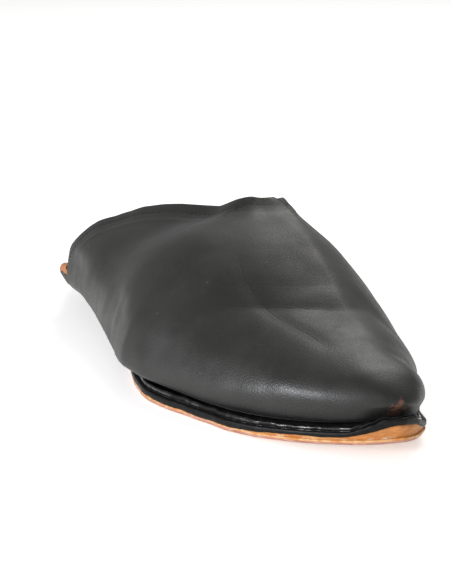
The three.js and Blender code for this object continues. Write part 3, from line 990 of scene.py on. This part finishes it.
def makeQuarter(material):
    shape = quarterShape
    rows, columns, seed = shape["rows"], shape["columns"], shape["seed"]
    bottom, top = quarterLayer(0.0), quarterLayer(shape["thickness"])
    # bumps and pleats on top, a lifted front edge
    flatTop = top.reshape(-1, 3)
    bumps = shape["bump"] * softNoise(flatTop, 16.0, seed + 1)
    bumps += shape["fineBump"] * softNoise(flatTop, 6.0, seed + 2)
    pleats = shape["pleat"] * np.sin(flatTop[:, 1] * 0.55 + 1.5 * softNoise(flatTop, 20.0, seed + 3))
    nearHeel = np.exp(-((flatTop[:, 0] - shape["start"]) / 14.0) ** 2)
    up = np.clip((0.45 + bumps + pleats * nearHeel).reshape(rows + 1, columns + 1), -0.2, 1.6)
    frontLift = np.exp(-((np.arange(rows + 1) - rows) / 10.0) ** 2)[:, None]
    top[..., 2] += up
    curl = shape["curl"] * frontLift * (0.6 + softNoise(top[-1], 13.0, seed + 4))[None, :]
    top[..., 2] += curl
    bottom[..., 2] += np.maximum(curl + up * frontLift * 0.8, 0.0)
    # both faces
    count = (rows + 1) * (columns + 1)
    ids = np.arange(count).reshape(rows + 1, columns + 1)
    corners = (ids[:-1, :-1], ids[:-1, 1:], ids[1:, 1:], ids[1:, :-1])
    quads = []
    for a, b, c, d in zip(*[corner.ravel().tolist() for corner in corners]):
        quads += [(a, b, c, d), (a + count, d + count, c + count, b + count)]
    # a rounded edge all round
    middle = (bottom + top) / 2
    rim = np.concatenate([ids[0, :-1], ids[:-1, -1], ids[-1, :0:-1], ids[:0:-1, 0]])
    row, column = np.divmod(rim, columns + 1)
    edge = middle[row, column]
    away = edge - middle[np.clip(row, 1, rows - 1), np.clip(column, 1, columns - 1)]
    away /= np.maximum(np.linalg.norm(away, axis=1), 1e-6)[:, None]
    bulge = 2 * count + np.arange(len(rim))
    quads += closedBand(bulge, rim) + closedBand(rim + count, bulge)
    points = np.concatenate([bottom.reshape(-1, 3), top.reshape(-1, 3), edge + away * shape["edgeRound"]])
    grain = np.concatenate([np.zeros(count), np.ones(count), np.full(len(rim), 0.5)])
    front = np.where(np.arange(len(points)) < 2 * count, shape["end"] - points[:, 0], 0.0)
    return makePiece("trodden_quarter", points, quads, material, {"grainSide": grain, "frontGap": front})


# materials

def tone(red, green, blue):
    # a colour as it is read off a screen, 0 to 255
    return tuple((v / 255 / 12.92) if v / 255 <= 0.04045 else ((v / 255 + 0.055) / 1.055) ** 2.4
                 for v in (red, green, blue))


leather = {
    "dark": tone(22, 22, 21), "mid": tone(34, 34, 32), "light": tone(52, 52, 49),
    # crease: a painted shade colour for the crease troughs
    "crease": tone(22, 22, 21), "scuff": tone(122, 78, 58),
    "grainScale": 900.0, "rough": 0.52, "sheen": 0.06,
}


scuffPlace = tuple((np.array((270.0, 3.0, 15.5)) + shift) * mm)


def finishBlackLeather():
    made = Shader("black_leather")
    place = made.objectPlace()
    topGap, topRun, flesh = made.attribute("topGap"), made.attribute("topRun"), made.attribute("flesh")
    broad = made.noise(place, 22.0, 3.0).smooth(0.34, 0.68)
    cloudy = made.noise(place, 75.0, 4.0, 0.6).smooth(0.35, 0.70)
    grain = made.cells(made.noisyPlace(place, 260.0, 0.0012), leather["grainScale"], "DISTANCE_TO_EDGE")
    pores = made.cells(place, 2100.0)
    fibre = made.noise(place, 3800.0, 2.0, 0.6)
    hide = made.mix(broad * 0.55 + cloudy * 0.45, leather["dark"], leather["light"])
    hide = made.mix(0.55, hide, leather["mid"])
    specks = (0.07 - made.cells(place, 150.0)).smooth(0.0, 0.03)
    specks = specks * made.noise(place, 40.0, 1.0).smooth(0.52, 0.60)
    hide = made.mix(specks * 0.35, hide, tone(120, 100, 78))
    toeGap = made.node("ShaderNodeVectorMath", {"operation": "DISTANCE"}, 1, i0=place, i1=scuffPlace)
    scuff = 1.0 - (toeGap * 1000.0 + (made.noise(place, 330.0, 4.0, 0.7) - 0.5) * 12.0).smooth(2.0, 4.6)
    scuff = scuff * made.noise(place, 520.0, 4.0, 0.7).smooth(0.40, 0.55)
    hide = made.mix(scuff * 0.85, hide, leather["scuff"])
    # the upper darkens into the groove above the rand: partly black wax, partly painted shade where the skin
    # tucks down
    foot = 1.0 - (made.attribute("footGap") + (made.noise(place, 45.0, 2.0) - 0.5) * 3.0).smooth(0.5, 5.0)
    hide = made.mix(foot * 0.85, hide, tone(12, 12, 12))
    # crease lines: dented in the bump, and darkened in colour as painted shade in the troughs
    creaseDentAndShade = 0.0
    for name, width, depth in (("fold", 0.30, 0.55), ("flexNear", 0.20, 0.25), ("flexFar", 0.22, 0.45),
                               ("flexShort", 0.22, 0.3)):
        gap = made.attribute(name) + (made.noise(place, 160.0, 2.0) - 0.5) * 1.6
        faded = made.noise(place, 90.0, 2.0).smooth(0.30, 0.62)
        line = (width - gap * gap).smooth(0.0, width) * depth * faded
        creaseDentAndShade = line if isinstance(creaseDentAndShade, float) else creaseDentAndShade.largest(line)
    hide = made.mix(creaseDentAndShade * 0.75, hide, leather["crease"])
    # hem: darker, as painted shade of the upright band, and duller, with the holes of the stitch line
    hem = 1.0 - topGap.smooth(upperShape["hemWidth"] - 1.2, upperShape["hemWidth"] + 0.2)
    along = (topRun * (1.0 / stitchShape["pitch"])).fraction()
    hole = (0.30 - (along - 0.5).size()).smooth(0.0, 0.12)
    row = (0.55 - (topGap - upperShape["stitchInset"]).size()).smooth(0.0, 0.4)
    holes = hole * row * (1.0 - flesh) * made.split(place, 0).smooth(-0.080, -0.074)
    hide = made.mix(hem * 0.20, hide, leather["dark"])
    # the stitch holes are darkened as painted shade in the holes
    hide = made.mix(holes * 0.7, hide, tone(12, 12, 12))
    # flesh side
    nap = made.noise(place, 900.0, 4.0, 0.7)
    fleshColor = made.mix(nap.smooth(0.3, 0.7), tone(120, 92, 66), tone(164, 132, 98))
    fleshColor = made.mix(broad * 0.5, fleshColor, tone(96, 72, 52))
    color = made.mix(flesh.smooth(0.35, 0.65), hide, fleshColor)
    rough = leather["rough"] + (cloudy - 0.5) * 0.10 + grain.smooth(0.0, 0.25) * -0.05 + hem * 0.06
    rubbed = 1.0 - (made.attribute("rubGap") + (made.noise(place, 70.0, 2.0) - 0.5) * 6.0).smooth(1.0, 14.0)
    rough = rough + flesh * 0.35 - rubbed * (0.12 + (made.noise(place, 1400.0, 2.0) - 0.5) * 0.16)
    height = grain.smooth(0.0, 0.22) * 0.6 + (1.0 - pores.smooth(0.0, 0.5)) * -0.25 + fibre * 0.25
    height = height + rubbed * made.cells(place, 800.0) * 0.6 - creaseDentAndShade * 2.2 - holes * 2.0 - scuff * 2.0
    normal = made.bump(height, 0.00008, 0.4)
    return made.set(Base_Color=color, Roughness=rough.clamp(), Normal=normal, Sheen_Weight=leather["sheen"],
                    Sheen_Roughness=0.45, Specular_IOR_Level=0.35)


stitchShape = {"pitch": 2.2, "length": 1.45, "radius": 0.24, "seed": 9}


def finishWax():
    made = Shader("waxed_black_rand")
    place = made.objectPlace()
    across = made.attribute("across")
    lumps = made.noise(place, 420.0, 3.0)
    smear = made.noise(made.stretch(place, (0.35, 0.35, 2.0)), 260.0, 4.0, 0.65)
    roll = across.smooth(0.34, 0.40) * (1.0 - across.smooth(0.66, 0.76))
    color = made.mix(lumps.smooth(0.35, 0.7), tone(8, 8, 8), tone(19, 18, 17))
    dust = made.noise(place, 190.0, 4.0, 0.7).smooth(0.60, 0.72)
    color = made.mix(dust * 0.22, color, tone(80, 74, 66))
    glint = roll * made.noise(made.stretch(place, (1.0, 1.0, 0.4)), 150.0, 3.0, 0.6).smooth(0.42, 0.60)
    rough = 0.44 + (smear - 0.5) * 0.4 - glint * 0.26 + dust * 0.25
    height = lumps * 0.7 + made.noise(place, 1500.0, 3.0, 0.6) * 0.3
    return made.set(Base_Color=color, Roughness=rough.clamp(), Normal=made.bump(height, 0.0002, 0.6),
                    Coat_Weight=glint.clamp(), Coat_Roughness=0.16, Specular_IOR_Level=0.18)


plyTones = {
    "tan": (tone(202, 134, 68), tone(170, 106, 50)), "tanLight": tone(216, 172, 116),
    "glue": tone(226, 212, 196),
    "brown": (tone(160, 104, 82), tone(196, 150, 130)), "brownDark": tone(118, 74, 56),
    "under": (tone(172, 128, 92), tone(128, 88, 60)),
}


def finishTan():
    made = Shader("tan_leather")
    place = made.objectPlace()
    ply = made.attribute("ply")
    streak = made.noise(made.stretch(place, (1.0, 1.0, 7.0)), 300.0, 5.0, 0.65)
    broad = made.noise(place, 55.0, 3.0)
    color = made.mix(streak.smooth(0.32, 0.68), plyTones["tan"][0], plyTones["tan"][1])
    color = made.mix(broad.smooth(0.45, 0.72) * 0.65, color, plyTones["tanLight"])
    back = 1.0 - made.split(place, 0).smooth(0.06, 0.105)
    color = made.mix(back * 0.35, color, plyTones["tanLight"])
    stain = (ply.smooth(0.55, 1.0)) * made.noise(place, 240.0, 4.0, 0.7).smooth(0.50, 0.66)
    color = made.mix(stain * 0.8, color, tone(62, 38, 24))
    smear = made.noise(place, 130.0, 4.0, 0.7)
    glue = (1.0 - ply.smooth(0.02, 0.22)) * smear.smooth(0.50, 0.62)
    patch = smear.smooth(0.66, 0.72) * (1.0 - ply.smooth(0.5, 0.8))
    color = made.mix(glue.largest(patch) * 0.85, color, plyTones["glue"])
    fibre = made.noise(made.stretch(place, (1.0, 1.0, 4.0)), 1500.0, 4.0, 0.7)
    height = streak * 0.6 + fibre * 0.5
    return made.set(Base_Color=color, Roughness=(0.62 + (fibre - 0.5) * 0.3 - glue * 0.2).clamp(),
                    Normal=made.bump(height, 0.00018, 0.7))


def finishSole():
    made = Shader("sole_leather")
    place = made.objectPlace()
    ply = made.attribute("ply")
    streak = made.noise(made.stretch(place, (1.0, 1.0, 8.0)), 280.0, 5.0, 0.65)
    side = made.mix(streak.smooth(0.35, 0.66), plyTones["brown"][0], plyTones["brown"][1])
    side = made.mix(made.noise(place, 60.0, 3.0).smooth(0.5, 0.75) * 0.6, side, plyTones["brownDark"])
    upToTan = 0.80 - made.split(place, 0).smooth(0.085, 0.125) * 0.10 + (streak - 0.5) * 0.3
    pale = made.mix(made.noise(place, 420.0, 3.0).smooth(0.4, 0.6), plyTones["tan"][0], plyTones["tanLight"])
    side = made.mix((ply - upToTan + 0.04).smooth(0.0, 0.10), side, pale)
    broad, grain = made.noise(place, 18.0, 4.0), made.noise(place, 260.0, 5.0, 0.65)
    under = made.mix(broad.smooth(0.35, 0.65), plyTones["under"][0], plyTones["under"][1])
    under = made.mix(grain.smooth(0.5, 0.75) * 0.5, under, tone(86, 60, 42))
    across = made.stretch(place, (1.0, 14.0, 1.0), (0.0, 0.0, 0.25))
    scratch = made.noise(across, 120.0, 3.0, 0.6).smooth(0.62, 0.70)
    under = made.mix(scratch * 0.4, under, tone(200, 164, 128))
    flat = made.node("ShaderNodeNewGeometry", None, 1)
    down = (made.split(flat, 2) * -1.0).smooth(0.75, 0.95)
    color = made.mix(down, side, under)
    height = grain * 0.6 + made.noise(place, 1600.0, 3.0, 0.7) * 0.4 + streak * 0.3 - scratch * 0.4
    return made.set(Base_Color=color, Roughness=(0.66 + (grain - 0.5) * 0.3).clamp(),
                    Normal=made.bump(height, 0.00018, 0.6))


def finishSock():
    made = Shader("sock_leather")
    place = made.objectPlace()
    edge = 1.0 - made.attribute("edgeGap").smooth(2.0, 9.0)
    broad, mottle = made.noise(place, 24.0, 4.0), made.noise(place, 95.0, 4.0, 0.6)
    color = made.mix(broad.smooth(0.35, 0.68), tone(176, 124, 78), tone(150, 98, 58))
    color = made.mix(mottle.smooth(0.5, 0.75) * 0.4, color, tone(122, 78, 46))
    color = made.mix(edge * 0.5, color, tone(92, 60, 38))
    grain = made.cells(place, 1300.0, "DISTANCE_TO_EDGE")
    height = grain.smooth(0.0, 0.2) * 0.5 + made.noise(place, 600.0, 4.0) * 0.5
    return made.set(Base_Color=color, Roughness=(0.55 + (mottle - 0.5) * 0.25).clamp(),
                    Normal=made.bump(height, 0.00010, 0.5), Specular_IOR_Level=0.4)


def finishQuarter():
    made = Shader("trodden_leather")
    place = made.objectPlace()
    grainSide, front = made.attribute("grainSide"), made.attribute("frontGap")
    broad, cloudy = made.noise(place, 30.0, 3.0), made.noise(place, 110.0, 4.0, 0.6)
    hide = made.mix(broad.smooth(0.35, 0.65), leather["dark"], leather["light"])
    wrinkle = made.noise(made.stretch(place, (1.0, 2.2, 1.0)), 150.0, 4.0, 0.6)
    hide = made.mix(wrinkle.smooth(0.60, 0.70) * 0.5, hide, tone(78, 70, 62))
    flesh = made.mix(cloudy.smooth(0.35, 0.65), tone(172, 112, 66), tone(134, 84, 48))
    raw = (1.0 - grainSide.smooth(0.62, 0.85)) + (1.0 - front.smooth(0.1, 0.5)) * 0.8
    color = made.mix((raw + (cloudy - 0.5) * 0.3).clamp(), hide, flesh)
    grain = made.cells(place, leather["grainScale"], "DISTANCE_TO_EDGE")
    height = grain.smooth(0.0, 0.2) * 0.5 + wrinkle * 1.6 + made.noise(place, 2400.0, 2.0) * 0.3
    rough = 0.56 + (cloudy - 0.5) * 0.2 + raw.clamp() * 0.25
    return made.set(Base_Color=color, Roughness=rough.clamp(), Normal=made.bump(height, 0.00014, 0.6),
                    Sheen_Weight=0.1, Sheen_Roughness=0.5, Specular_IOR_Level=0.4)


def finishThread():
    made = Shader("hem_thread")
    place = made.objectPlace()
    twist = made.noise(place, 2600.0, 2.0)
    color = made.mix(twist.smooth(0.35, 0.65), tone(20, 20, 19), tone(36, 35, 33))
    return made.set(Base_Color=color, Roughness=(0.55 + (twist - 0.5) * 0.2).clamp(),
                    Normal=made.bump(twist, 0.00008, 0.5))


def finishFloor():
    made = Shader("pale_floor")
    place = made.objectPlace()
    cloudy = made.noise(place, 3.0, 2.0)
    color = made.mix(cloudy, (0.92, 0.92, 0.92), (0.94, 0.94, 0.94))
    return made.set(Base_Color=color, Roughness=0.9, Specular_IOR_Level=0.1,
                    Emission_Color=(1.0, 1.0, 1.0), Emission_Strength=0.46)


# hem stitches: short lengths of thread along the line, each sunk between its two holes

def treeInput(tree, name, kind, value):
    made = tree.interface.new_socket(name, in_out="INPUT", socket_type=kind)
    made.default_value = value
    return made.identifier


def stitchTree(material):
    tree = bpy.data.node_groups.new("stitch_row", "GeometryNodeTree")
    tree.interface.new_socket("Geometry", in_out="INPUT", socket_type="NodeSocketGeometry")
    tree.interface.new_socket("Geometry", in_out="OUTPUT", socket_type="NodeSocketGeometry")
    names = {
        "pitch": treeInput(tree, "Stitch pitch", "NodeSocketFloat", 0.0022),
        "length": treeInput(tree, "Stitch length", "NodeSocketFloat", 0.0014),
        "radius": treeInput(tree, "Thread radius", "NodeSocketFloat", 0.00025),
        "seed": treeInput(tree, "Seed", "NodeSocketInt", 0),
    }

    def node(kind, settings=None, **inputs):
        made = tree.nodes.new(kind)
        for key, value in (settings or {}).items():
            setattr(made, key, value)
        for key, value in inputs.items():
            socket = made.inputs[int(key[1:])] if key[1:].isdigit() else made.inputs[key.replace("_", " ")]
            if isinstance(value, bpy.types.NodeSocket):
                tree.links.new(value, socket)
            else:
                socket.default_value = value
        return made

    start = node("NodeGroupInput").outputs
    curve = node("GeometryNodeMeshToCurve", None, i0=start["Geometry"])
    even = node("GeometryNodeResampleCurve", {"mode": "LENGTH"}, Curve=curve.outputs[0],
                Length=start["Stitch pitch"])
    tangent = node("GeometryNodeInputTangent")
    lean = node("GeometryNodeInputNamedAttribute", {"data_type": "FLOAT_VECTOR"}, Name="lean")
    turn = node("FunctionNodeAxesToRotation", {"primary_axis": "Z", "secondary_axis": "X"},
                i0=lean.outputs[0], i1=tangent.outputs[0])
    points = node("GeometryNodeCurveToPoints", {"mode": "EVALUATED"}, i0=even.outputs[0])
    bead = node("GeometryNodeMeshUVSphere", None, Segments=8, Rings=6, Radius=1.0)
    half = node("ShaderNodeMath", {"operation": "MULTIPLY"}, i0=start["Stitch length"], i1=0.5)
    size = node("ShaderNodeCombineXYZ", None, i0=half.outputs[0], i1=start["Thread radius"],
                i2=start["Thread radius"])
    low, high = (0.85, 0.85, 0.85), (1.12, 1.1, 1.1)
    uneven = node("FunctionNodeRandomValue", {"data_type": "FLOAT_VECTOR"}, i0=low, i1=high,
                  Seed=start["Seed"])
    scale = node("ShaderNodeVectorMath", {"operation": "MULTIPLY"}, i0=size.outputs[0], i1=uneven.outputs[0])
    placed = node("GeometryNodeInstanceOnPoints", None, Points=points.outputs[0], Instance=bead.outputs[0],
                  Rotation=turn.outputs[0], Scale=scale.outputs[0])
    real = node("GeometryNodeRealizeInstances", None, i0=placed.outputs[0])
    smooth = node("GeometryNodeSetShadeSmooth", None, i0=real.outputs[0])
    finished = node("GeometryNodeSetMaterial", None, i0=smooth.outputs[0], Material=material)
    end = node("NodeGroupOutput")
    tree.links.new(finished.outputs[0], end.inputs[0])
    return tree, names


def makeStitches(name, lines, normals, material, seed):
    # thread along the lines; lines and normals are in the shoe's own millimetres
    mesh = bpy.data.meshes.new(name + "_line")
    places = (np.concatenate(lines) + shift) * mm
    edges, base = [], 0
    for line in lines:
        edges += [(base + k, base + k + 1) for k in range(len(line) - 1)]
        base += len(line)
    mesh.from_pydata(places.tolist(), edges, [])
    lean = mesh.attributes.new("lean", "FLOAT_VECTOR", "POINT")
    lean.data.foreach_set("vector", np.concatenate(normals).astype(np.float32).ravel())
    guide = bpy.data.objects.new(name + "_line", mesh)
    bpy.context.scene.collection.objects.link(guide)
    tree, names = stitchTree(material)
    modifier = guide.modifiers.new("stitches", "NODES")
    modifier.node_group = tree
    for setting in ("pitch", "length", "radius"):
        modifier[names[setting]] = stitchShape[setting] * mm
    modifier[names["seed"]] = seed
    bpy.context.view_layer.update()
    graph = bpy.context.evaluated_depsgraph_get()
    made = bpy.data.meshes.new_from_object(guide.evaluated_get(graph), depsgraph=graph)
    made.name = name
    guide.modifiers.remove(modifier)
    bpy.data.objects.remove(guide)
    piece = bpy.data.objects.new(name, made)
    bpy.context.scene.collection.objects.link(piece)
    print(name, "made with", len(made.polygons), "faces")
    return piece


def makeFloor():
    mesh = bpy.data.meshes.new("floor")
    reach = 6.0
    mesh.from_pydata([(-reach, -reach, 0.0), (reach, -reach, 0.0), (reach, reach, 0.0), (-reach, reach, 0.0)],
                     [], [(0, 1, 2, 3)])
    mesh.materials.append(finishFloor())
    floor = bpy.data.objects.new("floor", mesh)
    bpy.context.scene.collection.objects.link(floor)


# fold corner: the end of the turned heel edge, bent out over the lateral wall, with its cut edge showing

cornerShape = {
    "thickness": 1.9, "width": 7.5, "around": 16, "seed": 71,
    "path": ((66, -46.2, 20.1), (65, -47.8, 21.2), (64.5, -49.1, 20.7), (64.5, -49.5, 19),
             (65, -48.9, 16.9), (66, -47.8, 14.6), (67, -46.6, 12.9)),
}


def makeCorner(material):
    path = smoothLine(cornerShape["path"], 6)
    rings, share = [], []
    count, around = len(path), cornerShape["around"]
    for k, centre in enumerate(path):
        along = path[min(k + 1, count - 1)] - path[max(k - 1, 0)]
        along /= np.linalg.norm(along)
        wide = np.array((1.0, 0.15, 0.25))
        wide -= along * (wide @ along)
        wide /= np.linalg.norm(wide)
        thick = np.cross(along, wide)
        t = k / (count - 1)
        half = cornerShape["width"] / 2 * (1 - 0.75 * max(0.0, (t - 0.45) / 0.55) ** 1.5)
        deep = cornerShape["thickness"] / 2 * (1 - 0.5 * max(0.0, (t - 0.8) / 0.2) ** 2)
        for step in range(around):
            turn = 2 * math.pi * step / around
            u, v = (math.copysign(abs(part) ** 0.6, part) for part in (math.cos(turn), math.sin(turn)))
            rings.append(centre + wide * u * half + thick * v * deep)
            share.append(abs(u))
    points = np.array(rings)
    points += 0.15 * np.stack([softNoise(points, 3.0, cornerShape["seed"] + k) for k in range(3)], -1)
    rows = np.arange(count * around).reshape(count, around)
    faces = [tuple(rows[0].tolist()), tuple(rows[-1].tolist())]
    for low, high in zip(rows[:-1], rows[1:]):
        faces += closedBand(low, high)
    # the raw edge shows on top, the grain below it
    grain = 1.0 - ease(17.8, 19.2, points[:, 2] + 1.2 * (np.array(share) - 0.7))
    attributes = {"grainSide": grain, "frontGap": np.full(len(points), 9.0)}
    return makePiece("fold_corner", points, faces, material, attributes)


# assembly

blackLeather = finishBlackLeather()
upperPiece, upperEdge = makeUpper(blackLeather)
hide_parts("upper")
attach(upperPiece, "root")

randPiece = makeRand(finishWax())
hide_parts("rand")
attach(randPiece, "root")

midsoleHigh = randLow - shoe["gap"] + 0.1
midsolePiece = makePly("tan_ply", midsoleLow, midsoleHigh, midsoleProfile, finishTan(), 11, 4, 1.0)
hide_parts("midsole")
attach(midsolePiece, "root")

outsolePiece = makePly("sole_ply", 0.0, shoe["ply"], outsoleProfile, finishSole(), 21, 26)
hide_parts("outsole")
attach(outsolePiece, "root")

sockPiece = makeInsole(finishSock())
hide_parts("insole")
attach(sockPiece, "root")

quarterLeather = finishQuarter()
quarterPiece = makeQuarter(quarterLeather)
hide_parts("back_quarter")
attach(quarterPiece, "root")

cornerPiece = makeCorner(quarterLeather)
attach(cornerPiece, "root")

thread = finishThread()
stitchPiece = makeStitches("hem_stitches", upperEdge["stitchLines"], upperEdge["stitchNormals"], thread,
                           stitchShape["seed"])
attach(stitchPiece, "root")

makeFloor()
